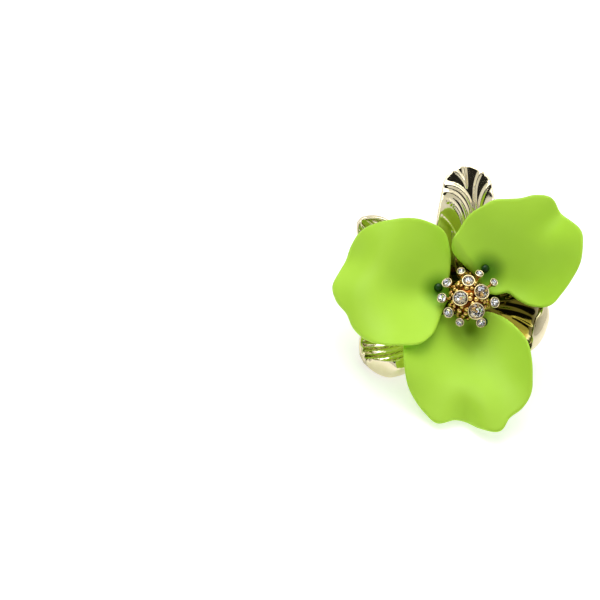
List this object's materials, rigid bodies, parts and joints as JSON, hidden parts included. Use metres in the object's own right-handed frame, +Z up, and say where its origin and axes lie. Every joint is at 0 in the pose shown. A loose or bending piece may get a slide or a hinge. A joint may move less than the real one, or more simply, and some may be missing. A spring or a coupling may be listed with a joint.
{
  "type": "flower stud earring",
  "caption": "Three cupped green petals pinned over a rosette of veined gold leaves, with a crystal-set stamen cluster in the middle and a straight ear post behind.",
  "frame": {"origin": "middle of the earring's own box, on the surface that it rests on", "axes": "+Z up; the flower faces up and towards -Y, leaning on its post and on two leaf tips"},
  "size_m": [0.0372, 0.0366, 0.0291],
  "materials": {
    "leaf_metal": "polished pale gold plating",
    "petal_coat": "matt lime green coat",
    "pin_enamel": "glossy dark green enamel",
    "stamen_metal": "polished warm gold plating",
    "crystal": "clear, foil backed"
  },
  "bodies": {
    "root": {"leaf_rosette": "leaf_metal", "petal_left": "petal_coat", "petal_upper": "petal_coat", "petal_lower": "petal_coat", "petal_pin_left": "pin_enamel", "petal_pin_upper": "pin_enamel", "petal_pin_lower": "pin_enamel", "stamen": "stamen_metal", "ear_post": "leaf_metal", "crystal_large_1": "crystal", "crystal_large_2": "crystal", "crystal_large_3": "crystal", "crystal_large_4": "crystal", "crystal_small_1": "crystal", "crystal_small_2": "crystal", "crystal_small_3": "crystal", "crystal_small_4": "crystal", "crystal_small_5": "crystal", "crystal_small_6": "crystal", "crystal_small_7": "crystal", "crystal_small_8": "crystal", "crystal_small_9": "crystal"}
  },
  "joints": []
}
